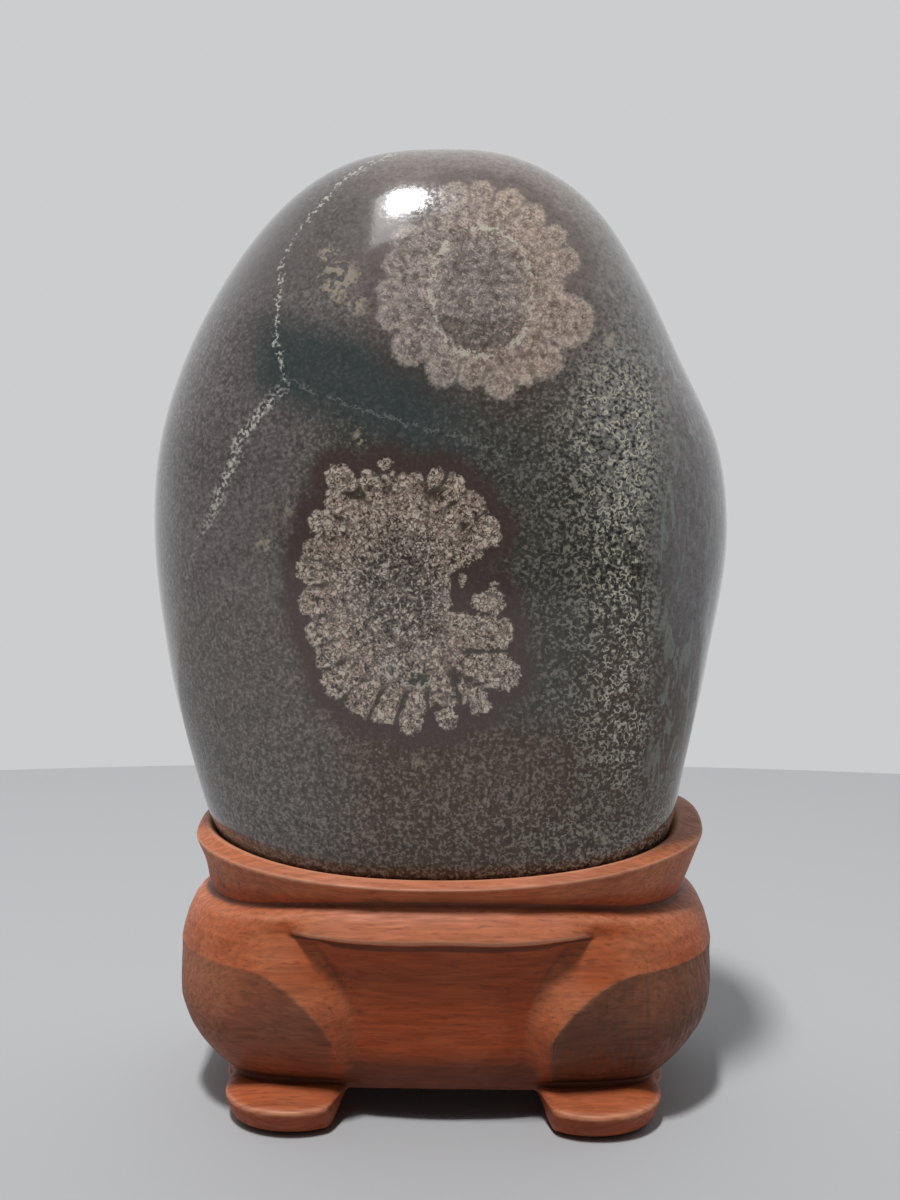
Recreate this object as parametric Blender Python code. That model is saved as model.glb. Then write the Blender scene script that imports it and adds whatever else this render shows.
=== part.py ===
"""
Scholar's rock resting in its carved wooden stand, in metres with +Z up.

The origin is on the table under the middle of the whole piece, and -Y is the front.
The stone is a polished upright egg, narrower from front to back, with a flattened foot.
The stand is carved from one block: four legs with rounded knees and flat toes, a belly cut
back between the legs, a shoulder, a neck and a rim that rises at both sides of the stone.
Both pieces are sphere primitives whose rings are moved to the form that a formula gives.
"""

import bmesh
import bpy
import numpy as np

MM = 0.001

# Stone: its ends, and its half-widths at a few angles down from the top.
STONE_TOP = 222.0 * MM
STONE_FOOT = 46.5 * MM
STONE_STATION_ANGLES = np.radians([0, 30, 50, 64, 78, 90, 112, 130, 150, 180])
STONE_LEFT = np.array([58, 60, 63.3, 66.5, 69.1, 69.7, 67.8, 66.7, 69.5, 72]) * MM
STONE_RIGHT = np.array([45, 54.8, 56.7, 59.8, 65.9, 67.5, 64.5, 64.1, 69, 72]) * MM
STONE_FRONT = np.array([36, 37.5, 39.5, 41, 41.8, 42, 43, 44.5, 47, 49]) * MM
STONE_BACK = np.array([34, 36, 38.5, 40, 40.8, 41, 42, 43.5, 46, 48]) * MM
STONE_TOP_BLUNTNESS = 0.70      # below 1 the end is blunter than an ellipsoid's
STONE_FOOT_BLUNTNESS = 0.38
STONE_SQUARENESS = 2.45         # superellipse power of the section, 2 for an ellipse
STONE_SQUARER_CORNER = 0.45     # added at the right front corner, taken off at the left back
STONE_SWELL = 0.35 * MM         # height of the broad waves left by hand polishing
STONE_COLUMNS = 48
STONE_RINGS = 28

# Stand: its rings stand out of a core oval of these half-widths. The stone leans a little to
# the left of the stand's middle.
STAND_X = 0.9 * MM
CORE_X = 49.0 * MM
CORE_Y = 27.5 * MM
FOOT_TUCK = 1.6 * MM            # the core is narrower from side to side at the feet
SOCKET_GAP = 0.5 * MM           # the stone's clearance in its socket
RIM_OUT = 11.8 * MM
RIM_SIDE_OUT = 0.6 * MM         # the rim flares further out at its two ends
RIM_X = 0.7 * MM                # the rim is carved a little to the right of the legs
RIM_FRONT_HEIGHT = 55.2 * MM
RIM_SIDE_RISE = 5.8 * MM
RIM_TILT = 0.7 * MM             # the rim stands a little higher at its right end
RIM_BACK_RISE = 3.4 * MM
RIM_BACK_Y = np.array([-14, 18]) * MM
RIM_LEAN = np.array([1.2, 1.1]) * MM      # the rim's outer face leans out: front, more at the ends
RIM_BEVEL = 0.4 * MM
RIM_INNER_RISE = np.array([1.6, 0.6]) * MM    # its top slopes up to the stone, as for the lean
NECK_OUT = 8.9 * MM
NECK_SIDE_TUCK = 0.9 * MM       # the neck is cut deeper at the two ends
NECK_HEIGHT = 51.0 * MM
NECK_FILLET = np.array([0.4, 1.2]) * MM     # the hollow over the neck, out and up
SIDE_DROP = 3.4 * MM            # how much lower the neck runs at both sides
CREASE_HEIGHT = 43.4 * MM       # the shoulder's edge over the belly
CREASE_OUT = 14.2 * MM
CREASE_END_RISE = 2.0 * MM
CREASE_END_X = np.array([10, 34]) * MM      # where the edge starts and stops rising
CREASE_FADE_X = np.array([26, 34]) * MM     # where it dies away into the leg
SHOULDER_OUT = 11.4 * MM        # the slope between the edge and the neck
SHOULDER_SWELL = 0.7 * MM
BELLY_TOP_OUT = 10.8 * MM
BELLY_FOOT_OUT = 3.6 * MM
BELLY_BULGE = 2.2 * MM
BELLY_FOOT_HEIGHT = 8.3 * MM
BELLY_FULLNESS = 0.8            # power of the belly's lean, 1 for a straight wall
KNEE_HEIGHT = 35.5 * MM         # the ridge over the cut knee face
KNEE_CORNER = 21.5 * MM         # radius of the ridge's rounded inner end
KNEE_INNER_X = 22.5 * MM        # inner side of the knee face
LEG_INNER_X = 18.2 * MM         # where the belly's edge starts to rise into the leg
LEG_FLARE = 11.5 * MM           # how far that edge swings out up at the shoulder
LEG_FLARE_HEIGHTS = np.array([22, 45]) * MM
LEG_HEIGHTS = np.array([8.3, 10.5, 13, 16, 20, 25, 30, 35.5, 38, 41, 44, 47]) * MM
LEG_OUT = np.array([2.8, 4.8, 6.6, 8.5, 10.6, 12.6, 14.1, 15.2, 15.1, 14.5, 13.2, 11.4]) * MM
SIDE_FULLNESS = 2.6 * MM        # the lower legs are fuller seen from the front than in depth
SIDE_FULLNESS_X = np.array([38, 46]) * MM
SIDE_FULLNESS_Y = np.array([2, 16]) * MM
ANKLE_OUT = 2.8 * MM
LEDGE_BACK_HEIGHT = 8.5 * MM
TOE_REACH = 12.6 * MM           # how far the toe stands out of the ankle
TOE_MIDDLE_X = 35.3 * MM
TOE_HALF_WIDTH = 14.6 * MM
TOE_SQUARENESS = 2.2
SIDE_TOE_REACH = 1.2 * MM
ARCH_HALF_X = 20.6 * MM         # half the gap between two feet, at the front and at the side
ARCH_HALF_Y = 8.0 * MM
FOOT_FLANK = 4.5 * MM           # width of the foot's sloping flank
UNDERSIDE_HEIGHT = 6.8 * MM

# Rings under the stand: share of the core, share of the inward draw of the feet's inner
# walls, and share of the underside's height at the feet.
UNDERSIDE_ROWS = ((0.0, 0.0, 1.0), (0.5, 0.5, 1.0), (0.97, 1.0, 1.0), (1.0, 1.0, 0.1), (1.0, 0.85, 0.0))
INWARD_DRAW_X = 0.20
INWARD_DRAW_Y = 0.28

# Rings round the toes in mm: distance in from the toe's edge and height at the feet, then
# distance out of the core and height over the arches.
TOE_ROWS = np.array([[4.8, 0.0, -2.5, 6.8], [2.4, 1.1, 0.8, 6.5], [0.7, 3.8, 2.2, 6.7],
                     [0.0, 5.9, 3.0, 7.0], [0.6, 6.6, 3.4, 7.4]]) * MM
KNEE_FACE_ROWS = (0.25, 0.5, 0.75, 1.0)     # shares of the way from the ledge to the ridge
SHOULDER_ROWS = (0.16, 0.33, 0.5, 0.67, 0.84, 0.97)     # from the ridge to the shoulder's edge
SOCKET_RINGS = 3                # rings of the socket below its edge, in line with the stone's
BODY_SQUARENESS = 2.6           # plan of the shoulder and the rim
FOOT_SQUARENESS = 6.5           # plan of the feet, near a rectangle
STAND_COLUMNS = 112
COLUMNS_GATHER = 0.45           # how much closer the columns stand on the legs


def smooth_step(value, start, end):
    """0 before start, 1 after end and an even S between them."""
    share = np.clip((value - start) / (end - start), 0.0, 1.0)
    return share * share * (3.0 - 2.0 * share)


def through(stations, values, at):
    """Smooth curve through the values given at the stations."""
    slopes = np.gradient(values, stations)
    below = np.clip(np.searchsorted(stations, at) - 1, 0, len(stations) - 2)
    span = stations[below + 1] - stations[below]
    share = (at - stations[below]) / span
    rise = values[below + 1] - values[below]
    bend_start = slopes[below] * span - rise
    bend_end = rise - slopes[below + 1] * span
    bend = (1 - share) * bend_start + share * bend_end
    return values[below] + share * rise + share * (1 - share) * bend


def oval_reach(angle, half_x, half_y, squareness):
    """Distance from the middle to a superellipse, in the direction of an angle around Z."""
    across = np.abs(np.cos(angle)) / half_x
    along = np.abs(np.sin(angle)) / half_y
    return (across ** squareness + along ** squareness) ** (-1.0 / squareness)


# ------------------------------------------------------------------------------------- stone

def stone_reach(down, angle, swollen=0.0):
    """Horizontal reach of the stone, at an angle down from its top and one around Z."""
    half_x = np.where(np.cos(angle) > 0, through(STONE_STATION_ANGLES, STONE_RIGHT, down),
                      through(STONE_STATION_ANGLES, STONE_LEFT, down))
    half_y = np.where(np.sin(angle) > 0, through(STONE_STATION_ANGLES, STONE_BACK, down),
                      through(STONE_STATION_ANGLES, STONE_FRONT, down))
    squareness = STONE_SQUARENESS + STONE_SQUARER_CORNER * np.cos(angle + np.pi / 4)
    bluntness = np.where(down < np.pi / 2, STONE_TOP_BLUNTNESS, STONE_FOOT_BLUNTNESS)
    waves = np.sin(3 * angle + 2 * down) + np.sin(2 * angle - 5 * down)
    swell = STONE_SWELL * np.sin(down) ** 2 * waves + swollen * np.sin(down) ** 0.25
    return np.sin(down) ** bluntness * oval_reach(angle, half_x, half_y, squareness) + swell


def stone_height(down, swollen=0.0):
    middle = (STONE_TOP + STONE_FOOT) / 2
    return middle + ((STONE_TOP - STONE_FOOT) / 2 + swollen) * np.cos(down)


def stone_points(down, angle, swollen=0.0):
    """Points of the stone's surface, as an array of x, y and z."""
    reach = stone_reach(down, angle, swollen)
    height = stone_height(down, swollen)
    return np.stack([reach * np.cos(angle), reach * np.sin(angle), height], axis=-1)


# ------------------------------------------------------------------------------------- stand

def core_oval(turn, height):
    """
    Points and outward directions of the core, at a turn around it.

    It is a superellipse, narrower and squarer towards the feet.
    """
    below_knee = np.clip((KNEE_HEIGHT - height) / (KNEE_HEIGHT - LEDGE_BACK_HEIGHT), 0.0, 1.0)
    squareness = BODY_SQUARENESS + (FOOT_SQUARENESS - BODY_SQUARENESS) * below_knee ** 1.5
    half_x = CORE_X - FOOT_TUCK * below_knee ** 2
    reach = oval_reach(turn, 1.0, 1.0, squareness)
    across = reach * np.cos(turn)
    along = reach * np.sin(turn)
    facing_x = np.sign(across) * np.abs(across) ** (squareness - 1) / half_x
    facing_y = np.sign(along) * np.abs(along) ** (squareness - 1) / CORE_Y
    length = np.hypot(facing_x, facing_y)
    return half_x * across, CORE_Y * along, facing_x / length, facing_y / length


def stand_ring(turn, out, height):
    """Points of the stand at a distance out of its core."""
    x, y, facing_x, facing_y = core_oval(turn, height)
    aside = STAND_X + RIM_X * smooth_step(height, NECK_HEIGHT, RIM_FRONT_HEIGHT)
    return np.stack([aside + x + out * facing_x, y + out * facing_y, height + 0 * x], axis=-1)


def under_ring(turn, share, inward, height):
    """Points under the stand; inward draws the ring's sides in and leaves the gaps' width."""
    x, y, _, _ = core_oval(turn, LEDGE_BACK_HEIGHT)
    x = share * x * (1 - INWARD_DRAW_X * inward * (x / CORE_X) ** 4)
    y = share * y * (1 - INWARD_DRAW_Y * inward * (y / CORE_Y) ** 4)
    return np.stack([STAND_X + x, y, height + 0 * x], axis=-1)


def toe_out(x):
    """How far the toe's edge stands out of the ankle, by its distance from the middle in x."""
    from_middle = np.clip(np.abs(x - TOE_MIDDLE_X) / TOE_HALF_WIDTH, 0.0, 1.0)
    return TOE_REACH * (1 - from_middle ** TOE_SQUARENESS) ** (1 / TOE_SQUARENESS)


def knee_ridge(x):
    """Height of the ridge over the knee face: level, with a round inner end."""
    beside = np.clip(KNEE_INNER_X + KNEE_CORNER - x, 0.0, KNEE_CORNER)
    return KNEE_HEIGHT - KNEE_CORNER + np.sqrt(KNEE_CORNER ** 2 - beside ** 2)


def wall_out(x, y, height):
    """How far the outer wall stands out of the core, from the ankle and belly up to the shoulder."""
    up_belly = np.clip((height - BELLY_FOOT_HEIGHT) / (CREASE_HEIGHT - BELLY_FOOT_HEIGHT), 0.0, 1.0)
    belly = BELLY_FOOT_OUT + (BELLY_TOP_OUT - BELLY_FOOT_OUT) * up_belly ** BELLY_FULLNESS
    belly = belly + BELLY_BULGE * np.clip(1 - (x / ARCH_HALF_X) ** 2, 0.0, None) * (1 - up_belly)
    flare_start, flare_end = LEG_FLARE_HEIGHTS
    flare = np.clip((height - flare_start) / (flare_end - flare_start), 0.0, None) ** 2
    into_leg = np.clip(x - LEG_INNER_X - LEG_FLARE * flare, 0.0, None)
    beside = np.clip(KNEE_INNER_X + KNEE_CORNER - x, 0.0, None)
    above = np.clip(height - (KNEE_HEIGHT - KNEE_CORNER), 0.0, None)
    off_face = np.clip(np.hypot(beside, above) - KNEE_CORNER, 0.0, None)
    share = into_leg / (into_leg + off_face + 0.01 * MM)
    up_knee = np.clip((height - BELLY_FOOT_HEIGHT) / (KNEE_HEIGHT - BELLY_FOOT_HEIGHT), 0.0, 1.0)
    side_leg = smooth_step(x, *SIDE_FULLNESS_X) * smooth_step(y, *SIDE_FULLNESS_Y)
    leg = np.interp(height, LEG_HEIGHTS, LEG_OUT) + SIDE_FULLNESS * side_leg * np.sin(np.pi * up_knee)
    return belly + (leg - belly) * share


def stand_rows(angle):
    """Rings of the stand's surface, from the middle of its underside up and over to its socket."""
    turn = angle + COLUMNS_GATHER / 4 * np.sin(4 * angle)
    reference = stand_ring(turn, ANKLE_OUT, LEDGE_BACK_HEIGHT)
    x = np.abs(reference[..., 0] - STAND_X)
    y = np.abs(reference[..., 1])
    foot = smooth_step(x, ARCH_HALF_X, ARCH_HALF_X + FOOT_FLANK)
    foot = foot * smooth_step(y, ARCH_HALF_Y, ARCH_HALF_Y + FOOT_FLANK)
    facing_front = core_oval(turn, LEDGE_BACK_HEIGHT)[3] ** 2
    toe = ANKLE_OUT + np.maximum(toe_out(x) * facing_front, SIDE_TOE_REACH)

    # The underside, the feet's inner walls and their soles.
    rows = []
    for share, inward, up in UNDERSIDE_ROWS:
        height = UNDERSIDE_HEIGHT * (1 + (up - 1) * foot)
        rows.append(under_ring(turn, share, inward, height))

    # The toes and ledges, and the belly's rounded lower edge over the arches.
    for inset, foot_height, arch_out, arch_height in TOE_ROWS:
        out = arch_out + (toe - inset - arch_out) * foot
        height = arch_height + (foot_height - arch_height) * foot
        rows.append(stand_ring(turn, out, height))
    low = BELLY_FOOT_HEIGHT + (LEDGE_BACK_HEIGHT - BELLY_FOOT_HEIGHT) * foot
    rows.append(stand_ring(turn, BELLY_FOOT_OUT + (ANKLE_OUT - BELLY_FOOT_OUT) * foot, low))

    # The wall: knee faces up to their ridge, then legs and belly up to the shoulder's edge.
    ridge = knee_ridge(x)
    side_drop = SIDE_DROP * (x / CORE_X) ** 2
    crease = CREASE_HEIGHT + CREASE_END_RISE * smooth_step(x, *CREASE_END_X) - side_drop
    neck = NECK_HEIGHT - side_drop
    for share in KNEE_FACE_ROWS:
        height = low + (ridge - low) * share
        rows.append(stand_ring(turn, wall_out(x, y, height), height))
    for share in SHOULDER_ROWS:
        height = ridge + (crease - ridge) * share
        rows.append(stand_ring(turn, wall_out(x, y, height), height))
    over_belly = 1 - smooth_step(x, *CREASE_FADE_X)
    below_crease = wall_out(x, y, crease)
    crease_out = below_crease + (CREASE_OUT - below_crease) * over_belly
    rows.append(stand_ring(turn, crease_out, crease))
    rows.append(stand_ring(turn, SHOULDER_OUT, 0.5 * (crease + neck) + SHOULDER_SWELL))

    # The neck, the rim's outer face and top, and the socket that follows the stone.
    brim = stand_ring(turn, RIM_OUT, RIM_FRONT_HEIGHT)
    to_side = (brim[..., 0] - STAND_X - RIM_X) / (CORE_X + RIM_OUT)
    rim = RIM_FRONT_HEIGHT + RIM_SIDE_RISE * to_side ** 2 + RIM_TILT * to_side
    rim = rim + RIM_BACK_RISE * smooth_step(brim[..., 1], *RIM_BACK_Y)
    rim_out = RIM_OUT + RIM_SIDE_OUT * to_side ** 2
    neck_out = NECK_OUT - NECK_SIDE_TUCK * to_side ** 2
    lean, inner_rise = (front + more * to_side ** 2 for front, more in (RIM_LEAN, RIM_INNER_RISE))
    fillet_out, fillet_up = NECK_FILLET
    rows.append(stand_ring(turn, neck_out, neck))
    rows.append(stand_ring(turn, neck_out + fillet_out, neck + fillet_up))
    rows.append(stand_ring(turn, rim_out - lean, 0.5 * (neck + fillet_up + rim)))
    rows.append(stand_ring(turn, rim_out, rim - RIM_BEVEL))
    rows.append(stand_ring(turn, rim_out - RIM_BEVEL, rim))
    around = np.arctan2(brim[..., 1], brim[..., 0])
    middle = (STONE_TOP + STONE_FOOT) / 2
    edge = np.arccos((rim + inner_rise - middle) / (STONE_TOP - middle + SOCKET_GAP))
    below_edge = np.pi * np.arange(STONE_RINGS - SOCKET_RINGS, STONE_RINGS + 1) / STONE_RINGS
    for down in (edge, 0.5 * (edge + below_edge[0]), *below_edge):
        rows.append(stone_points(down + 0 * around, around, SOCKET_GAP))
    return rows


# ------------------------------------------------------------------------------------ objects

def sphere_object(name, columns, rings, place, material, collection):
    """An object made from a sphere primitive; place gives each ring and angle its new point."""
    mesh = bpy.data.meshes.new(name)
    shape = bmesh.new()
    bmesh.ops.create_uvsphere(shape, u_segments=columns, v_segments=rings, radius=1.0)
    start = np.array([vertex.co for vertex in shape.verts])
    down = np.arccos(np.clip(start[:, 2], -1.0, 1.0))
    angle = np.arctan2(start[:, 1], start[:, 0])
    for vertex, point in zip(shape.verts, place(down, angle)):
        vertex.co = point
    bmesh.ops.recalc_face_normals(shape, faces=shape.faces)
    shape.to_mesh(mesh)
    shape.free()
    mesh.materials.append(material)
    mesh.shade_smooth()
    mesh.set_sharp_from_angle(angle=np.radians(35))
    piece = bpy.data.objects.new(name, mesh)
    collection.objects.link(piece)
    return piece


def plain_material(name, colour, roughness):
    material = bpy.data.materials.new(name)
    material.use_nodes = True
    shader = material.node_tree.nodes["Principled BSDF"]
    shader.inputs["Base Color"].default_value = (*colour, 1.0)
    shader.inputs["Roughness"].default_value = roughness
    shader.inputs["Metallic"].default_value = 0.0
    return material


def place_stand(down, angle):
    """Take each ring of the sphere, counted from its lower pole, to its row of the stand."""
    rows = np.array(stand_rows(angle))
    row = np.rint((np.pi - down) / np.pi * (len(rows) - 1)).astype(int)
    return rows[row, np.arange(len(angle))]


for old in list(bpy.data.objects):
    bpy.data.objects.remove(old, do_unlink=True)
parts = bpy.data.collections.new("scholars_rock")
bpy.context.scene.collection.children.link(parts)

sphere_object("stone", STONE_COLUMNS, STONE_RINGS, stone_points,
              plain_material("polished dark stone", (0.060, 0.055, 0.050), 0.15), parts)
stand_ring_count = len(stand_rows(np.zeros(1))) - 1
sphere_object("stand", STAND_COLUMNS, stand_ring_count, place_stand,
              plain_material("carved rosewood", (0.30, 0.10, 0.045), 0.5), parts)
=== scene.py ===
"""
Looks of a scholar's rock and the carved wooden stand that it rests in.

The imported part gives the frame, in metres with +Z up and -Y the front. Both pieces repeat the
part's own forms on a finer grid, and take their finishes from procedural materials.
"""

import bpy
import numpy as np
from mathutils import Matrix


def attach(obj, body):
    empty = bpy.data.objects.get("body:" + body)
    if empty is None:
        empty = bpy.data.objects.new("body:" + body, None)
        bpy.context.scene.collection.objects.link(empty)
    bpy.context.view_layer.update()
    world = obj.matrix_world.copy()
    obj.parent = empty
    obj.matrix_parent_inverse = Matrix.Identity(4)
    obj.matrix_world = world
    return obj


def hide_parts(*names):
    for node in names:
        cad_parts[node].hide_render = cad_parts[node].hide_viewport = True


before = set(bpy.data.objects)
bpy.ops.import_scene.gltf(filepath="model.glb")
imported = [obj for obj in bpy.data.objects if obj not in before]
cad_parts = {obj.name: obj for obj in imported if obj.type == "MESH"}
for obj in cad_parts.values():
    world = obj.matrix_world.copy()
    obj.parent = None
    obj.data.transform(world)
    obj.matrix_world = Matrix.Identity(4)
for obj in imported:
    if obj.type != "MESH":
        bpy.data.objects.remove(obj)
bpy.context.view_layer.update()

# ---------------------------------------------------------------------------------- the stand
# One block of reddish rosewood, roughed out by saw and then carved by hand with gouge and
# chisel, rubbed down and waxed. Four legs with cut knee faces and flat toes carry a belly, a
# shoulder, a neck and a rim, and the stone sits loose in the hollow inside the rim.

MM = 0.001
CORE_X = 49.0 * MM
CORE_Y = 27.5 * MM
STAND_X = 0.9 * MM
FOOT_TUCK = 1.6 * MM
SOCKET_GAP = 0.5 * MM
SOCKET_RINGS = 13
RIM_OUT = 11.8 * MM
RIM_SIDE_OUT = 0.6 * MM
RIM_X = 0.7 * MM
RIM_FRONT_HEIGHT = 55.2 * MM
RIM_SIDE_RISE = 5.8 * MM
RIM_TILT = 0.7 * MM
RIM_BACK_RISE = 3.4 * MM
RIM_BACK_Y = np.array([-14, 18]) * MM
RIM_LEAN = np.array([1.2, 1.1]) * MM
RIM_BEVEL = 0.4 * MM
RIM_INNER_RISE = np.array([1.6, 0.6]) * MM
NECK_OUT = 8.9 * MM
NECK_SIDE_TUCK = 0.9 * MM
NECK_HEIGHT = 51.0 * MM
NECK_FILLET = np.array([0.4, 1.2]) * MM
SIDE_DROP = 3.4 * MM
CREASE_HEIGHT = 43.4 * MM
CREASE_OUT = 14.2 * MM
CREASE_END_RISE = 2.0 * MM
CREASE_END_X = np.array([10, 34]) * MM
CREASE_FADE_X = np.array([26, 34]) * MM
SHOULDER_OUT = 11.4 * MM
SHOULDER_SWELL = 0.7 * MM
BELLY_TOP_OUT = 10.8 * MM
BELLY_FOOT_OUT = 3.6 * MM
BELLY_BULGE = 2.2 * MM
BELLY_FOOT_HEIGHT = 8.3 * MM
BELLY_FULLNESS = 0.8
KNEE_HEIGHT = 35.5 * MM
KNEE_CORNER = 21.5 * MM
KNEE_INNER_X = 22.5 * MM
LEG_INNER_X = 18.2 * MM
LEG_FLARE = 11.5 * MM
LEG_FLARE_HEIGHTS = np.array([22, 45]) * MM
LEG_HEIGHTS = np.array([8.3, 10.5, 13, 16, 20, 25, 30, 35.5, 38, 41, 44, 47]) * MM
LEG_OUT = np.array([2.8, 4.8, 6.6, 8.5, 10.6, 12.6, 14.1, 15.2, 15.1, 14.5, 13.2, 11.4]) * MM
SIDE_FULLNESS = 2.6 * MM
SIDE_FULLNESS_X = np.array([38, 46]) * MM
SIDE_FULLNESS_Y = np.array([2, 16]) * MM
ANKLE_OUT = 2.8 * MM
LEDGE_BACK_HEIGHT = 8.5 * MM
TOE_REACH = 12.6 * MM
TOE_MIDDLE_X = 35.3 * MM
TOE_HALF_WIDTH = 14.6 * MM
TOE_SQUARENESS = 2.2
SIDE_TOE_REACH = 1.2 * MM
ARCH_HALF_X = 20.6 * MM
ARCH_HALF_Y = 8.0 * MM
FOOT_FLANK = 4.5 * MM
UNDERSIDE_HEIGHT = 6.8 * MM
UNDERSIDE_ROWS = ((0.0, 0.0, 1.0), (0.5, 0.5, 1.0), (0.97, 1.0, 1.0), (1.0, 1.0, 0.1), (1.0, 0.85, 0.0))
INWARD_DRAW_X = 0.20
INWARD_DRAW_Y = 0.28
TOE_ROWS = np.array([[4.8, 0.0, -2.5, 6.8], [2.4, 1.1, 0.8, 6.5], [0.7, 3.8, 2.2, 6.7],
                     [0.0, 5.9, 3.0, 7.0], [0.6, 6.6, 3.4, 7.4]]) * MM
BODY_SQUARENESS = 2.6
FOOT_SQUARENESS = 6.5
COLUMNS_GATHER = 0.45
STAND_COLUMNS = 640
KNEE_FACE_RINGS = 26
LEG_RINGS = 34


def smooth_step(value, start, end):
    """0 before start, 1 after end and an even S between them."""
    share = np.clip((value - start) / (end - start), 0.0, 1.0)
    return share * share * (3.0 - 2.0 * share)


def oval_reach(angle, half_x, half_y, squareness):
    """Distance from the middle to a superellipse: one over the power mean of |cos|/a and |sin|/b."""
    across = np.abs(np.cos(angle)) / half_x
    along = np.abs(np.sin(angle)) / half_y
    return (across ** squareness + along ** squareness) ** (-1.0 / squareness)


def core_oval(turn, height):
    """Points and outward directions of the core: a superellipse, squarer towards the feet."""
    below_knee = np.clip((KNEE_HEIGHT - height) / (KNEE_HEIGHT - LEDGE_BACK_HEIGHT), 0.0, 1.0)
    squareness = BODY_SQUARENESS + (FOOT_SQUARENESS - BODY_SQUARENESS) * below_knee ** 1.5
    half_x = CORE_X - FOOT_TUCK * below_knee ** 2
    reach = oval_reach(turn, 1.0, 1.0, squareness)
    across = reach * np.cos(turn)
    along = reach * np.sin(turn)
    facing_x = np.sign(across) * np.abs(across) ** (squareness - 1) / half_x
    facing_y = np.sign(along) * np.abs(along) ** (squareness - 1) / CORE_Y
    length = np.hypot(facing_x, facing_y)
    return half_x * across, CORE_Y * along, facing_x / length, facing_y / length


def stand_ring(turn, out, height):
    """Ring of points at a distance out of the core, along the core's own outward direction."""
    x, y, facing_x, facing_y = core_oval(turn, height)
    aside = STAND_X + RIM_X * smooth_step(height, NECK_HEIGHT, RIM_FRONT_HEIGHT)
    return np.stack([aside + x + out * facing_x, y + out * facing_y, height + 0 * x], axis=-1)


def under_ring(turn, share, inward, height):
    """Ring under the stand: a share of the core, with its corners drawn in by a fourth power."""
    x, y, _, _ = core_oval(turn, LEDGE_BACK_HEIGHT)
    x = share * x * (1 - INWARD_DRAW_X * inward * (x / CORE_X) ** 4)
    y = share * y * (1 - INWARD_DRAW_Y * inward * (y / CORE_Y) ** 4)
    return np.stack([STAND_X + x, y, height + 0 * x], axis=-1)


def toe_out(x):
    """Reach of the toe's edge: a superellipse over the distance from the toe's middle."""
    from_middle = np.clip(np.abs(x - TOE_MIDDLE_X) / TOE_HALF_WIDTH, 0.0, 1.0)
    return TOE_REACH * (1 - from_middle ** TOE_SQUARENESS) ** (1 / TOE_SQUARENESS)


def knee_ridge(x):
    """Height of the ridge over the knee face: level, then a quarter circle at its inner end."""
    beside = np.clip(KNEE_INNER_X + KNEE_CORNER - x, 0.0, KNEE_CORNER)
    return KNEE_HEIGHT - KNEE_CORNER + np.sqrt(KNEE_CORNER ** 2 - beside ** 2)


def wall_out(x, y, height):
    """Distance of the outer wall from the core: the belly's, blended into the leg's beyond its edge."""
    up_belly = np.clip((height - BELLY_FOOT_HEIGHT) / (CREASE_HEIGHT - BELLY_FOOT_HEIGHT), 0.0, 1.0)
    belly = BELLY_FOOT_OUT + (BELLY_TOP_OUT - BELLY_FOOT_OUT) * up_belly ** BELLY_FULLNESS
    belly = belly + BELLY_BULGE * np.clip(1 - (x / ARCH_HALF_X) ** 2, 0.0, None) * (1 - up_belly)
    flare_start, flare_end = LEG_FLARE_HEIGHTS
    flare = np.clip((height - flare_start) / (flare_end - flare_start), 0.0, None) ** 2
    into_leg = np.clip(x - LEG_INNER_X - LEG_FLARE * flare, 0.0, None)
    beside = np.clip(KNEE_INNER_X + KNEE_CORNER - x, 0.0, None)
    above = np.clip(height - (KNEE_HEIGHT - KNEE_CORNER), 0.0, None)
    off_face = np.clip(np.hypot(beside, above) - KNEE_CORNER, 0.0, None)
    share = into_leg / (into_leg + off_face + 0.01 * MM)
    up_knee = np.clip((height - BELLY_FOOT_HEIGHT) / (KNEE_HEIGHT - BELLY_FOOT_HEIGHT), 0.0, 1.0)
    side_leg = smooth_step(x, *SIDE_FULLNESS_X) * smooth_step(y, *SIDE_FULLNESS_Y)
    leg = np.interp(height, LEG_HEIGHTS, LEG_OUT) + SIDE_FULLNESS * side_leg * np.sin(np.pi * up_knee)
    return belly + (leg - belly) * share


def fair(key_rings, crispness, steps):
    """
    Rings between key rings: up each column runs a cubic curve through the key points.

    Its direction at a ring is the mean of the directions to both sides, and at a crisp ring
    each side keeps its own.
    """
    keys = np.array(key_rings)
    spans = np.diff(keys, axis=0)
    lengths = np.linalg.norm(spans, axis=2, keepdims=True) + 1e-9
    ways = spans / lengths
    shared = ways[1:] + ways[:-1]
    shared = shared / (np.linalg.norm(shared, axis=2, keepdims=True) + 1e-9)
    crisp = np.array([level + 0 * keys[0, :, :1] for level in crispness[1:-1]])
    leaving = np.concatenate([ways[:1], shared + (ways[1:] - shared) * crisp])
    arriving = np.concatenate([shared + (ways[:-1] - shared) * crisp, ways[-1:]])
    rings = []
    for start, end, out, back, length, count in zip(keys[:-1], keys[1:], leaving, arriving, lengths, steps):
        share = (np.arange(count) / count)[:, None, None]
        rest = 1 - share
        rings.append(start * (1 + 2 * share) * rest ** 2 + end * share ** 2 * (3 - 2 * share)
                     + out * length * share * rest ** 2 - back * length * share ** 2 * rest)
    return np.concatenate(rings + [keys[-1:]])


def unevenness(points, size, seed):
    """Smooth heights from -1 to 1: random draws at a cubic lattice of one size, eased between corners."""
    draws = np.random.default_rng(seed).uniform(-1, 1, (64, 64, 64))
    place = points / size
    corner = np.floor(place).astype(int)
    share = place - corner
    share = share * share * (3 - 2 * share)
    height = 0
    for step in np.ndindex(2, 2, 2):
        at = (corner + step) % 64
        weight = np.prod(np.where(step, share, 1 - share), axis=-1)
        height = height + weight * draws[at[..., 0], at[..., 1], at[..., 2]]
    return height


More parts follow.
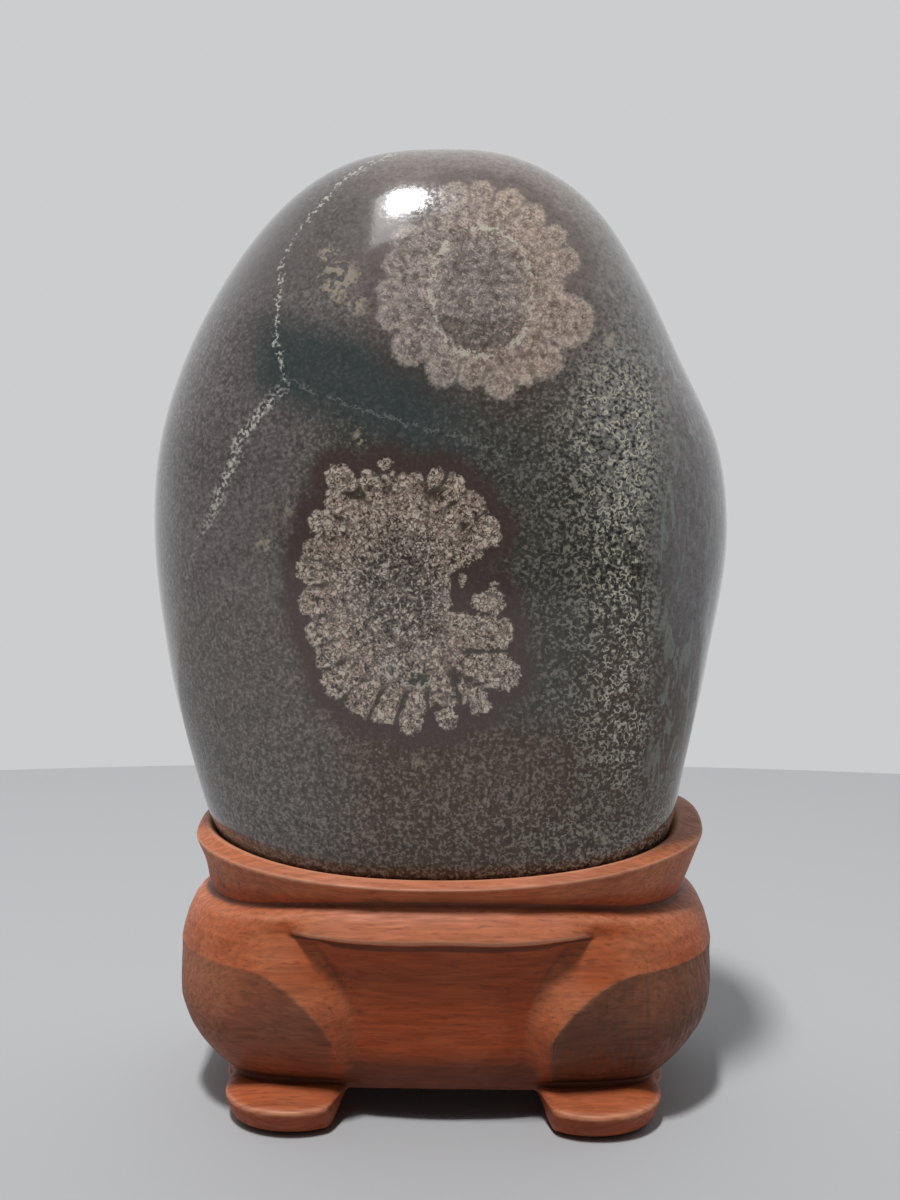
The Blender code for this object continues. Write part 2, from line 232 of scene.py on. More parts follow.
def outward(grid):
    """Outward directions of a grid of rings: the cross product of its steps round and up."""
    around = np.roll(grid, -1, axis=1) - np.roll(grid, 1, axis=1)
    upwards = np.gradient(grid, axis=0)
    facing = np.cross(around, upwards)
    return facing / (np.linalg.norm(facing, axis=2, keepdims=True) + 1e-12)


def closed_skin(name, grid, first_pole, last_pole, fields):
    """
    Mesh object of a grid of rings, counted from below, closed by a fan at either end.

    Its UV map runs once round the piece, and up it by the mean distance between rings.
    """
    rings, columns, _ = grid.shape
    points = np.concatenate([[first_pole], grid.reshape(-1, 3), [last_pole]])
    column = np.arange(columns)
    following = (column + 1) % columns
    ring = np.arange(rings - 1)[:, None] * columns + 1
    quads = np.stack([ring + column, ring + following, ring + columns + following,
                      ring + columns + column], axis=-1).reshape(-1, 4)
    top = (rings - 1) * columns + 1
    first_fan = np.stack([0 * column, following + 1, column + 1], axis=-1)
    last_fan = np.stack([0 * column + len(points) - 1, top + column, top + following], axis=-1)
    corners = np.concatenate([first_fan.ravel(), last_fan.ravel(), quads.ravel()])
    sizes = np.concatenate([np.full(2 * columns, 3), np.full(len(quads), 4)])
    mesh = bpy.data.meshes.new(name)
    mesh.vertices.add(len(points))
    mesh.vertices.foreach_set("co", points.ravel())
    mesh.loops.add(len(corners))
    mesh.loops.foreach_set("vertex_index", corners)
    mesh.polygons.add(len(sizes))
    mesh.polygons.foreach_set("loop_start", np.concatenate([[0], np.cumsum(sizes)[:-1]]))
    mesh.polygons.foreach_set("use_smooth", np.ones(len(sizes), bool))
    mesh.update(calc_edges=True)
    mesh.validate()

    rise = np.linalg.norm(np.diff(grid, axis=0), axis=2).mean(axis=1)
    v_ring = np.concatenate([[0], np.cumsum(rise)]) / rise.sum() * 0.96 + 0.02
    v_point = np.concatenate([[0.0], np.repeat(v_ring, columns), [1.0]])
    u_first = np.stack([column + 0.5, column + 1, column], axis=-1)
    u_last = np.stack([column + 0.5, column, column + 1], axis=-1)
    u_quads = np.tile(np.stack([column, column + 1, column + 1, column], axis=-1), (rings - 1, 1, 1))
    u_corner = np.concatenate([u_first.ravel(), u_last.ravel(), u_quads.ravel()]) / columns
    layer = mesh.uv_layers.new(name="OFBake")
    layer.data.foreach_set("uv", np.stack([u_corner, v_point[corners]], axis=-1).astype(np.float32).ravel())
    for field, values in fields.items():
        flat = values.reshape(rings * columns, -1)
        flat = np.concatenate([flat[:columns].mean(axis=0, keepdims=True), flat,
                               flat[-columns:].mean(axis=0, keepdims=True)])
        kind, entry = ("FLOAT", "value") if flat.shape[1] == 1 else ("FLOAT_VECTOR", "vector")
        mesh.attributes.new(field, kind, "POINT").data.foreach_set(entry, flat.astype(np.float32).ravel())
    piece = bpy.data.objects.new(name, mesh)
    bpy.context.scene.collection.objects.link(piece)
    return piece


def colour(hex_text):
    """Linear colour of an sRGB hex value."""
    parts = np.array([int(hex_text[i:i + 2], 16) for i in (1, 3, 5)]) / 255
    linear = np.where(parts <= 0.04045, parts / 12.92, ((parts + 0.055) / 1.055) ** 2.4)
    return (*linear, 1.0)


COLOUR_MIX = {"out": 2, "data_type": "RGBA"}


def add(material, kind, sockets, out=0, **settings):
    """Adds a shader node with its settings, links or sets its sockets, and gives one of its outputs."""
    node = material.node_tree.nodes.new("ShaderNode" + kind)
    for name, value in settings.items():
        setattr(node, name, value)
    for socket, value in sockets.items():
        if isinstance(value, bpy.types.NodeSocket):
            material.node_tree.links.new(value, node.inputs[socket])
        else:
            node.inputs[socket].default_value = value
    return node.outputs[out]


def new_material(name, **constants):
    """A material with one Principled shader, whose constant sockets are set here."""
    material = bpy.data.materials.new(name)
    material.use_nodes = True
    shader = material.node_tree.nodes["Principled BSDF"]
    for socket, value in constants.items():
        shader.inputs[socket.replace("_", " ")].default_value = value
    return material, shader


# Key rings of the underside and the feet, from the middle of the underside to the ledges.
angle = (np.arange(STAND_COLUMNS) + 0.5) / STAND_COLUMNS * 2 * np.pi
turn = angle + COLUMNS_GATHER / 4 * np.sin(4 * angle)
reference = stand_ring(turn, ANKLE_OUT, LEDGE_BACK_HEIGHT)
beside_middle = np.abs(reference[..., 0] - STAND_X)
off_middle = np.abs(reference[..., 1])
foot = smooth_step(beside_middle, ARCH_HALF_X, ARCH_HALF_X + FOOT_FLANK)
foot = foot * smooth_step(off_middle, ARCH_HALF_Y, ARCH_HALF_Y + FOOT_FLANK)
facing_front = core_oval(turn, LEDGE_BACK_HEIGHT)[3] ** 2
toe = ANKLE_OUT + np.maximum(toe_out(beside_middle) * facing_front, SIDE_TOE_REACH)
feet = [under_ring(turn, share, inward, UNDERSIDE_HEIGHT * (1 + (up - 1) * foot))
        for share, inward, up in UNDERSIDE_ROWS[1:]]
for inset, foot_height, arch_out, arch_height in TOE_ROWS:
    feet.append(stand_ring(turn, arch_out + (toe - inset - arch_out) * foot,
                           arch_height + (foot_height - arch_height) * foot))
low = BELLY_FOOT_HEIGHT + (LEDGE_BACK_HEIGHT - BELLY_FOOT_HEIGHT) * foot
feet.append(stand_ring(turn, BELLY_FOOT_OUT + (ANKLE_OUT - BELLY_FOOT_OUT) * foot, low))
feet = fair(feet, [1, 1, 0.7, 1, 1, 0, 0, 0.5, 1, 1], [5, 3, 2, 4, 4, 4, 4, 3, 8])

# The wall: the cut knee faces up to their ridge, then legs and belly up to the shoulder's edge.
ridge = knee_ridge(beside_middle)
side_drop = SIDE_DROP * (beside_middle / CORE_X) ** 2
crease = CREASE_HEIGHT + CREASE_END_RISE * smooth_step(beside_middle, *CREASE_END_X) - side_drop
neck = NECK_HEIGHT - side_drop
wall = [low + (ridge - low) * share for share in np.arange(1, KNEE_FACE_RINGS + 1) / KNEE_FACE_RINGS]
wall += [ridge + (crease - ridge) * share for share in np.arange(1, LEG_RINGS) / LEG_RINGS]
wall = np.array([stand_ring(turn, wall_out(beside_middle, off_middle, height), height) for height in wall])

# The shoulder, the neck, the rim and the socket that follows the stone.
over_belly = 1 - smooth_step(beside_middle, *CREASE_FADE_X)
below_crease = wall_out(beside_middle, off_middle, crease)
brim = stand_ring(turn, RIM_OUT, RIM_FRONT_HEIGHT)
to_side = (brim[..., 0] - STAND_X - RIM_X) / (CORE_X + RIM_OUT)
rim = RIM_FRONT_HEIGHT + RIM_SIDE_RISE * to_side ** 2 + RIM_TILT * to_side
rim = rim + RIM_BACK_RISE * smooth_step(brim[..., 1], *RIM_BACK_Y)
rim_out = RIM_OUT + RIM_SIDE_OUT * to_side ** 2
neck_out = NECK_OUT - NECK_SIDE_TUCK * to_side ** 2
lean, inner_rise = (front + more * to_side ** 2 for front, more in (RIM_LEAN, RIM_INNER_RISE))
fillet_out, fillet_up = NECK_FILLET
shoulder = [
    wall[-1],
    stand_ring(turn, below_crease + (CREASE_OUT - below_crease) * over_belly, crease),
    stand_ring(turn, SHOULDER_OUT, 0.5 * (crease + neck) + SHOULDER_SWELL),
    stand_ring(turn, neck_out, neck),
    stand_ring(turn, neck_out + fillet_out, neck + fillet_up),
    stand_ring(turn, rim_out - lean, 0.5 * (neck + fillet_up + rim)),
    stand_ring(turn, rim_out, rim - RIM_BEVEL),
    stand_ring(turn, rim_out - RIM_BEVEL, rim),
]

# ---------------------------------------------------------------------------------- the stone
# A river-worn piece of dark patterned rock, ground to an upright egg and polished by hand to
# a glassy face. Pale needle clusters grew in it as two rosettes, and thin pale veins cross it.

STONE_TOP = 222.0 * MM
STONE_FOOT = 46.5 * MM
STONE_STATION_ANGLES = np.radians([0, 30, 50, 64, 78, 90, 112, 130, 150, 180])
STONE_LEFT = np.array([58, 60, 63.3, 66.5, 69.1, 69.7, 67.8, 66.7, 69.5, 72]) * MM
STONE_RIGHT = np.array([45, 54.8, 56.7, 59.8, 65.9, 67.5, 64.5, 64.1, 69, 72]) * MM
STONE_FRONT = np.array([36, 37.5, 39.5, 41, 41.8, 42, 43, 44.5, 47, 49]) * MM
STONE_BACK = np.array([34, 36, 38.5, 40, 40.8, 41, 42, 43.5, 46, 48]) * MM
STONE_TOP_BLUNTNESS = 0.70
STONE_FOOT_BLUNTNESS = 0.38
STONE_SQUARENESS = 2.45
STONE_SQUARER_CORNER = 0.45
STONE_SWELL = 0.35 * MM
STONE_COLUMNS = 384
STONE_FRONT_GATHER = 0.3
STONE_RINGS = 252


def through(stations, values, at):
    """Smooth curve through the values at the stations: a cubic with their mean slopes."""
    slopes = np.gradient(values, stations)
    below = np.clip(np.searchsorted(stations, at) - 1, 0, len(stations) - 2)
    span = stations[below + 1] - stations[below]
    share = (at - stations[below]) / span
    rise = values[below + 1] - values[below]
    bend_start = slopes[below] * span - rise
    bend_end = rise - slopes[below + 1] * span
    bend = (1 - share) * bend_start + share * bend_end
    return values[below] + share * rise + share * (1 - share) * bend


def stone_points(down, around, swollen=0.0):
    """
    Points of the stone, by an angle down from its top and one around Z.

    The height is a cosine of the angle down. The reach is a power of its sine times a
    superellipse whose half-widths change on the way down, with a low broad swell on it.
    """
    half_x = np.where(np.cos(around) > 0, through(STONE_STATION_ANGLES, STONE_RIGHT, down),
                      through(STONE_STATION_ANGLES, STONE_LEFT, down))
    half_y = np.where(np.sin(around) > 0, through(STONE_STATION_ANGLES, STONE_BACK, down),
                      through(STONE_STATION_ANGLES, STONE_FRONT, down))
    squareness = STONE_SQUARENESS + STONE_SQUARER_CORNER * np.cos(around + np.pi / 4)
    bluntness = np.where(down < np.pi / 2, STONE_TOP_BLUNTNESS, STONE_FOOT_BLUNTNESS)
    waves = np.sin(3 * around + 2 * down) + np.sin(2 * around - 5 * down)
    swell = STONE_SWELL * np.sin(down) ** 2 * waves + swollen * np.sin(down) ** 0.25
    reach = np.sin(down) ** bluntness * oval_reach(around, half_x, half_y, squareness) + swell
    middle = (STONE_TOP + STONE_FOOT) / 2
    height = middle + ((STONE_TOP - STONE_FOOT) / 2 + swollen) * np.cos(down)
    return np.stack([reach * np.cos(around), reach * np.sin(around), height], axis=-1)


# The stand's socket needs the stone's form, so the stand's mesh is closed here.
around = np.arctan2(brim[..., 1], brim[..., 0])
stone_middle = (STONE_TOP + STONE_FOOT) / 2
rim_edge = np.arccos((rim + inner_rise - stone_middle) / (STONE_TOP - stone_middle + SOCKET_GAP))
for share in (0.0, 0.3, 0.6, 0.85, 0.97):
    shoulder.append(stone_points(rim_edge + (np.pi - rim_edge) * share, around, SOCKET_GAP))
shoulder = fair(shoulder, [1, over_belly[:, None], 0, 0.5, 0.3, 0, 0.9, 0.9, 1, 0, 0, 0, 0],
                [1, 7, 6, 3, 5, 6, 2, 5, 3, 2, 2, 1])[1:]
stand_grid = np.concatenate([feet, wall, shoulder])
softened = stand_grid.copy()
softened[1:-1] = (stand_grid[:-2] + 2 * stand_grid[1:-1] + stand_grid[2:]) / 4
facing = outward(softened)
hand_carving = 0.10 * MM * unevenness(softened, 7 * MM, 1) + 0.05 * MM * unevenness(softened, 2.4 * MM, 2)
level = softened[..., 2]
above_sole = smooth_step(level, 0.3 * MM, 2 * MM)
outer = np.arange(len(softened)) < len(softened) - SOCKET_RINGS
stand_grid = softened + facing * (hand_carving * above_sole * outer[:, None])[..., None]

steps = np.diff(stand_grid, axis=0)
steps = steps / (np.linalg.norm(steps, axis=2, keepdims=True) + 1e-9)
turning = np.zeros(stand_grid.shape[:2])
turning[1:-1] = -np.sum((steps[1:] - steps[:-1]) * facing[1:-1], axis=2)
ring_number = np.arange(len(stand_grid))[:, None]
first_wall = len(feet)
on_knee = (ring_number >= first_wall) & (ring_number < first_wall + KNEE_FACE_RINGS)
cut_face = on_knee * smooth_step(beside_middle, KNEE_INNER_X, KNEE_INNER_X + 2 * MM)
cut_face = cut_face * (0.8 + 0.2 * smooth_step(softened[..., 0], -10 * MM, 10 * MM))

# Painted light: faces that turn up are lighter and faces that turn down or aside are darker, with some
# random unevenness.
painted_light = smooth_step(facing[..., 2] + 0.12 * unevenness(softened, 9 * MM, 5), -0.25, 0.60)
inwards = np.clip(-facing[..., 0] * np.sign(softened[..., 0] - STAND_X), 0, 1)
below_shoulder = ring_number < first_wall + len(wall)
# Painted light on the leg faces that turn inwards to the middle, below the shoulder.
painted_light = painted_light + 0.8 * inwards * smooth_step(level, 10 * MM, 18 * MM) * below_shoulder
# Darker towards the bottom, below 30 mm.
painted_light = painted_light * (0.60 + 0.40 * smooth_step(level, 9 * MM, 30 * MM))
# Painted light on the rim's outer face, which lies in shade.
painted_light = painted_light + 0.9 * smooth_step(level, 50.5 * MM, 53 * MM)
# Painted shade under the belly, and a little on the toes.
under_belly = 1 - smooth_step(level, 8 * MM, 19 * MM)
under_belly = under_belly * (1 - smooth_step(beside_middle, 17 * MM, 25 * MM))
on_toes = 1 - smooth_step(level, 8 * MM, 14 * MM)

# Attributes: convex edges, painted shade in the creases and under the belly, the knee faces, and painted
# light.
stand = closed_skin("carved_stand", stand_grid, (STAND_X, 0, UNDERSIDE_HEIGHT),
                    stone_points(np.pi, 0.0, SOCKET_GAP), {
                        "edge": np.clip(turning, 0, 1) * (1 - under_belly),
                        "hollow": np.clip(-turning, 0, 1) + 0.6 * under_belly + 0.08 * on_toes,
                        "cut": cut_face,
                        "painted_light": painted_light})

# Rosewood: orange to red brown, lighter where faces turn up and darker where they turn down or
# aside as painted light and shade, darker red in the creases and under the belly as painted shade,
# and raw brown on the knee faces that were left from the chisel. Its grain runs from side to
# side. The wax leaves a satin surface with open pores.
rosewood, rosewood_shader = new_material("waxed rosewood", Roughness=0.55, IOR=1.47,
                                         Specular_IOR_Level=0.42)
place = add(rosewood, "TexCoord", {}, out=3)
edge, hollow, cut, painted_light = (add(rosewood, "Attribute", {}, out=2, attribute_name=field)
                             for field in ("edge", "hollow", "cut", "painted_light"))
along_grain = add(rosewood, "Mapping", {"Vector": place, "Rotation": (0, 0.05, 0.03), "Scale": (0.09, 1, 1)})
figure = add(rosewood, "TexNoise", {"Vector": along_grain, "Scale": 170.0, "Detail": 3.0, "Distortion": 0.3})
fibre = add(rosewood, "TexNoise", {"Vector": along_grain, "Scale": 1100.0, "Detail": 2.0, "Roughness": 0.6})
short_grain = add(rosewood, "Mapping", {"Vector": place, "Rotation": (0, 0.05, 0.03), "Scale": (0.16, 1, 1)})
pore = add(rosewood, "TexNoise", {"Vector": short_grain, "Scale": 1500.0, "Detail": 1.0})
patch = add(rosewood, "TexNoise", {"Vector": place, "Scale": 75.0, "Detail": 3.0, "Roughness": 0.6})
shade = add(rosewood, "MapRange", {0: patch, 1: 0.36, 2: 0.64, 3: -0.16, 4: 0.16})
# Painted light, with random patches on it, picks between the darker and the lighter red brown.
painted_light_mix = add(rosewood, "Math", {0: painted_light, 1: shade}, operation="ADD", use_clamp=True)
wood = add(rosewood, "Mix", {0: painted_light_mix, 6: colour("#ae4a17"), 7: colour("#bb6b45")}, **COLOUR_MIX)
figured = add(rosewood, "MapRange", {0: figure, 1: 0.50, 2: 0.68, 3: 0.0, 4: 0.30})
wood = add(rosewood, "Mix", {0: figured, 6: wood, 7: colour("#72371f")}, **COLOUR_MIX)
raw = add(rosewood, "Math", {0: cut, 1: 0.85}, operation="MULTIPLY")
raw_tint = add(rosewood, "Mix", {0: patch, 6: colour("#4c3122"), 7: colour("#8b5a42")}, **COLOUR_MIX)
raw_tone = add(rosewood, "MapRange", {0: cut, 1: 0.8, 2: 1.0, 3: 1.25, 4: 0.82})
raw_tint = add(rosewood, "VectorMath", {0: raw_tint, 3: raw_tone}, operation="SCALE")
wood = add(rosewood, "Mix", {0: raw, 6: wood, 7: raw_tint}, **COLOUR_MIX)
fibred = add(rosewood, "MapRange", {0: fibre, 1: 0.34, 2: 0.66, 3: 0.82, 4: 1.15})
wood = add(rosewood, "VectorMath", {0: wood, 3: fibred}, operation="SCALE")
pored = add(rosewood, "MapRange", {0: pore, 1: 0.62, 2: 0.70, 3: 0.0, 4: 0.35})
wood = add(rosewood, "Mix", {0: pored, 6: wood, 7: colour("#4a2416")}, **COLOUR_MIX)
# Painted shade in the creases, under the belly and on the toes.
painted_shade = add(rosewood, "MapRange", {0: hollow, 1: 0.02, 2: 0.30, 3: 0.0, 4: 0.7})
wood = add(rosewood, "Mix", {0: painted_shade, 6: wood, 7: colour("#3f2013")}, **COLOUR_MIX)
# Convex edges worn pale along the grain, with a painted highlight on them.
wear_and_highlight = add(rosewood, "Math", {0: fibre, 1: edge}, operation="MULTIPLY")
wear_and_highlight = add(rosewood, "MapRange", {0: wear_and_highlight, 1: 0.04, 2: 0.25, 3: 0.0, 4: 0.7})
wood = add(rosewood, "Mix", {0: wear_and_highlight, 6: wood, 7: colour("#cf9070")}, **COLOUR_MIX)
rosewood.node_tree.links.new(wood, rosewood_shader.inputs["Base Color"])

# The chisel left shallow upright facets on the knee faces, about 2 mm wide.
upright = add(rosewood, "Mapping", {"Vector": place, "Scale": (1, 1, 0.12)})
facets = add(rosewood, "TexNoise", {"Vector": upright, "Scale": 420.0, "Detail": 1.0})
ribbed = add(rosewood, "MapRange", {0: cut, 1: 0.78, 2: 1.0, 3: 0.0, 4: 1.0})
facets = add(rosewood, "Math", {0: facets, 1: ribbed}, operation="MULTIPLY")
texture = add(rosewood, "Math", {0: pore, 1: -0.35, 2: fibre}, operation="MULTIPLY_ADD")
relief = add(rosewood, "Bump", {"Height": texture, "Strength": 0.5, "Distance": 0.12 * MM})
relief = add(rosewood, "Bump", {"Height": facets, "Strength": 1.0, "Distance": 1.2 * MM, "Normal": relief})
rosewood.node_tree.links.new(relief, rosewood_shader.inputs["Normal"])
satin = add(rosewood, "MapRange", {0: fibre, 1: 0.3, 2: 0.7, 3: 0.64, 4: 0.48})
rosewood.node_tree.links.new(satin, rosewood_shader.inputs["Roughness"])
stand.data.materials.append(rosewood)
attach(stand, "root")
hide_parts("stand")

stone_angle = (np.arange(STONE_COLUMNS) + 0.5) / STONE_COLUMNS * 2 * np.pi
stone_angle = stone_angle - STONE_FRONT_GATHER * np.cos(stone_angle)
stone_down = np.pi * (1 - np.arange(1, STONE_RINGS) / STONE_RINGS)
stone_down, stone_around = np.meshgrid(stone_down, stone_angle, indexing="ij")
stone_grid = stone_points(stone_down, stone_around)

# Markings on the stone, in millimetres across and up its front: a middle and half-widths for
# each oval, and a middle and radius for each lobe round it.
LOWER_OVAL = (-7.4, 120.0, 18.6, 25.0)
LOWER_BODIES = ((3.5, 107.5, 11.8), (-14.0, 134.5, 9.5), (3.0, 134.0, 8.5), (-10.0, 104.0, 12.5))
LOWER_LOBES = (
    (-10.5, 146.8, 1.3), (-14.4, 144.5, 1.3), (-20.3, 143.8, 3.0), (-21.2, 139.4, 2.4), (-24.4, 134.6, 2.6),
    (-25.6, 128.6, 2.8), (-26.8, 124.5, 3.0), (-26.4, 117.5, 3.2), (-24.9, 111.1, 3.1), (-22.8, 105.9, 3.1),
    (-20.6, 100.9, 4.0), (-16.6, 96.8, 3.2), (-10.7, 94.1, 2.3), (-5.3, 91.9, 2.7), (2.4, 92.9, 2.4),
    (9.6, 95.7, 2.1), (14.5, 102.5, 3.6), (14.0, 111.5, 2.7), (10.4, 132.8, 3.6), (7.3, 137.6, 3.1),
    (3.3, 142.0, 2.9), (0.7, 143.8, 2.2), (-4.3, 143.5, 1.9))
NOTCH_X = 3.2
NOTCH_UPPER = (123.7, 0.55)
NOTCH_LOWER = (115.6, -0.10)
ISLANDS = ((9.3, 118.0, 1.8), (11.2, 118.0, 2.4), (13.2, 117.7, 1.8), (12.4, 121.0, 0.9), (5.8, 122.4, 1.1))
UPPER_OVAL = (9.5, 185.5, 18.0, 20.5)
UPPER_LOBES = (
    (25.5, 197.0, 2.7), (27.8, 191.4, 3.2), (27.9, 177.8, 5.9), (22.7, 169.1, 4.3), (18.3, 166.5, 3.3),
    (13.6, 163.8, 3.6), (7.4, 166.0, 3.0), (1.5, 166.8, 3.6), (-5.4, 172.0, 4.1), (-9.2, 178.7, 3.3),
    (-9.7, 184.1, 3.0), (-8.3, 190.3, 3.4), (-6.6, 195.8, 3.4), (4.1, 206.6, 3.4), (9.4, 207.0, 3.1),
    (15.5, 205.0, 3.4), (20.3, 201.7, 3.1))
NO_MARK = -9
NO_FLOWER = -30
UPPER_RING = (9.8, 184.0, 11.0, 14.5)
HOLLOWS = ((-3.6, 101.5, 3.0, 1.7), (-9.4, 103.0, 1.6, 1.2), (-11.0, 126.6, 1.2, 1.7))
SPOTS = ((-36.8, 129.8, 2.0), (-31.1, 137.3, 1.1), (-16.3, 152.4, 1.5), (37.3, 173.7, 1.6),
         (47.3, 166.6, 1.4), (39.8, 85.4, 0.9), (36.9, 65.0, 1.3), (-3.4, 82.7, 1.0), (-6.1, 118.6, 0.7),
         (-21.0, 186.8, 4.5), (-24.0, 193.0, 2.0), (-17.0, 181.0, 2.0))
LONG_VEIN = ((-9.2, 219.3), (-21.3, 212.2), (-30.9, 199.5), (-34.3, 192.5), (-35.0, 176.1), (-32.3, 164.0),
             (-37.4, 158.7), (-42.4, 152.4), (-45.9, 143.8), (-49.8, 135.1), (-55.2, 126.3), (-58.0, 108.0))
SHORT_VEIN = ((-33.5, 166.0), (-24.6, 161.6), (-7.5, 155.7), (7.3, 151.9), (17.8, 146.6), (30.4, 141.3))
BACK_VEIN = ((-12.0, 218.0), (6.0, 206.0), (19.0, 184.0), (24.0, 158.0), (15.0, 130.0),
             (-6.0, 106.0), (-30.0, 88.0))
DARK_BAND = ((-40.0, 171.0), (-22.0, 166.5), (-4.0, 158.5), (10.0, 152.0), (34.0, 145.0))


def flower(across, height, oval, bodies, lobes):
    """
    Depth inside a flower's outline, the share out from its middle, and the lead of a lobe.

    The depth is the greatest of the oval's, the round bodies' and the lobes'. The lead is how
    much deeper a point lies in its deepest lobe than in the next, so it is 0 between two lobes.
    """
    middle_x, middle_z, half_x, half_z = oval
    share = np.hypot((across - middle_x) / half_x, (height - middle_z) / half_z)
    depth = (1 - share) * 0.5 * (half_x + half_z)
    for x, z, radius in bodies:
        depth = np.maximum(depth, radius - np.hypot(across - x, height - z))
    in_lobes = np.sort([radius - np.hypot(across - x, height - z) for x, z, radius in lobes], axis=0)
    return np.maximum(depth, in_lobes[-1]), share, in_lobes[-1] - in_lobes[-2]


def beside_line(across, height, corners):
    """
    Signed distance to a line of straight stretches, and how strongly it shows.

    The sign tells the side, and the strength fades over the last few millimetres at both ends.
    """
    corners = np.array(corners)
    nearest = np.full(across.shape, np.inf)
    signed = nearest.copy()
    along = nearest.copy()
    passed = 0.0
    for start, end in zip(corners[:-1], corners[1:]):
        stretch = end - start
        length = np.hypot(*stretch)
        on_x, on_z = across - start[0], height - start[1]
        share = np.clip((on_x * stretch[0] + on_z * stretch[1]) / length ** 2, 0, 1)
        distance = np.hypot(on_x - share * stretch[0], on_z - share * stretch[1])
        side = np.sign(on_x * stretch[1] - on_z * stretch[0])
        closer = distance < nearest
        nearest = np.where(closer, distance, nearest)
        signed = np.where(closer, side * distance, signed)
        along = np.where(closer, passed + share * length, along)
        passed += length
    shown = smooth_step(along, 0, 3) * (1 - smooth_step(along, 0.7 * passed, passed))
    return signed, shown * (nearest < 8)


across = stone_grid[..., 0] / MM
height = stone_grid[..., 2] / MM
in_front = stone_grid[..., 1] < 0
lower_depth, lower_share, lower_lead = flower(across, height, LOWER_OVAL, LOWER_BODIES, LOWER_LOBES)
in_notch = across - NOTCH_X
upper_edge, lower_edge = (start + rise * in_notch for start, rise in (NOTCH_UPPER, NOTCH_LOWER))
in_notch = np.minimum(in_notch, np.minimum(upper_edge - height, height - lower_edge))
lower_depth = np.minimum(lower_depth, -in_notch)
for island_x, island_z, island_radius in ISLANDS:
    lower_depth = np.maximum(lower_depth, island_radius - np.hypot(across - island_x, height - island_z))
upper_depth, upper_share, upper_lead = flower(across, height, UPPER_OVAL, (), UPPER_LOBES)
is_upper = upper_depth > lower_depth
bloom_depth = np.where(in_front, np.maximum(lower_depth, upper_depth), NO_FLOWER)
bloom_share = np.where(is_upper, upper_share, lower_share)
lobe_lead = np.where(is_upper, upper_lead, lower_lead)
bloom_x = across - np.where(is_upper, UPPER_OVAL[0], LOWER_OVAL[0])
bloom_z = height - np.where(is_upper, UPPER_OVAL[1], LOWER_OVAL[1])
bloom_reach = np.hypot(bloom_x, bloom_z) + 1e-6

hollow_depth = np.full(across.shape, float(NO_MARK))
for hollow_x, hollow_z, half_x, half_z in HOLLOWS:
    off = np.hypot((across - hollow_x) / half_x, (height - hollow_z) / half_z)
    hollow_depth = np.maximum(hollow_depth, (1 - off) * half_z)
spot_depth = np.full(across.shape, float(NO_MARK))
for spot_x, spot_z, spot_radius in SPOTS:
    spot_depth = np.maximum(spot_depth, spot_radius - np.hypot(across - spot_x, height - spot_z))
ring_x, ring_z, ring_half_x, ring_half_z = UPPER_RING
off_ring = np.hypot((across - ring_x) / ring_half_x, (height - ring_z) / ring_half_z)
off_ring = (off_ring - 1) * ring_half_x
crescent = np.minimum(-off_ring, ring_z - 0.45 * ring_half_z - height + 0.02 * (across - ring_x) ** 2)
hollow_depth = np.maximum(hollow_depth, crescent)

long_side, long_shown = beside_line(across, height, LONG_VEIN)
short_side, short_shown = beside_line(across, height, SHORT_VEIN)
back_side, back_shown = beside_line(across, height, BACK_VEIN)
long_side, long_shown = np.where(in_front, long_side, back_side), np.where(in_front, long_shown, back_shown)
grainy = smooth_step(height, 128, 140) * (1 - smooth_step(height, 160, 168)) * in_front
band_side, _ = beside_line(across, height, DARK_BAND)
band_half = 12.0 - 7.0 * smooth_step(across, -10, 30)
dark_band = 1 - smooth_step(np.abs(band_side), 0.35 * band_half, 1.25 * band_half)
dark_band = dark_band * smooth_step(across, -46, -34) * (1 - 0.85 * smooth_step(across, -6, 18)) * in_front

# The stone's own colour: brown below, mauve grey above, bluish at the right, purplish at the left.
cloud = unevenness(stone_grid, 16 * MM, 3) + 0.5 * unevenness(stone_grid, 7 * MM, 4)
ground = np.zeros((*across.shape, 3)) + colour("#523e2c")[:3]
for hex_text, weight in (
        ("#504c44", smooth_step(height, 92, 128)),
        ("#8b817c", smooth_step(height + 3 * cloud, 150, 196)),
        ("#7b7372", smooth_step(-across + 4 * cloud, 18, 46) * smooth_step(height, 80, 120)),
        ("#686160", smooth_step(-across + 4 * cloud, 18, 46) * smooth_step(height, 132, 152)),
        ("#83807d", smooth_step(across, 22, 44) * smooth_step(height, 120, 152)),
        ("#857f80", smooth_step(across + 3 * cloud, 42, 56) * smooth_step(height, 85, 120)),
        ("#6a6462", smooth_step(-across, 2, 26) * smooth_step(height, 160, 190)),
        ("#675f59", smooth_step(-across, 6, 36) * (1 - smooth_step(height, 104, 140))),
        ("#48311c", smooth_step(-height, -64, -53)),
        ("#4a4840", smooth_step(across, 3, 14) * (1 - smooth_step(across, 26, 40))
         * smooth_step(height, 84, 100) * (1 - smooth_step(height, 140, 156))),
        ("#444b4a", dark_band)):
    ground = ground + (np.array(colour(hex_text)[:3]) - ground) * weight[..., None]
ground = ground * (1 + 0.10 * cloud[..., None])
speckle = 0.35 + 0.18 * (1 - smooth_step(height, 62, 95))
speckle = speckle - 0.20 * smooth_step(height, 176, 192)
speckle = speckle - 0.10 * smooth_step(-across, 22, 38) * smooth_step(height, 105, 130)
above_foot = smooth_step(height, 66, 84)
needled = smooth_step(across + 4 * cloud, 20, 40) * above_foot * (1 - smooth_step(height, 158, 180))
low_right = 0.42 * smooth_step(across, 5, 30) * (1 - above_foot)
speckle = speckle + (1 - speckle) * np.maximum(needled, low_right)
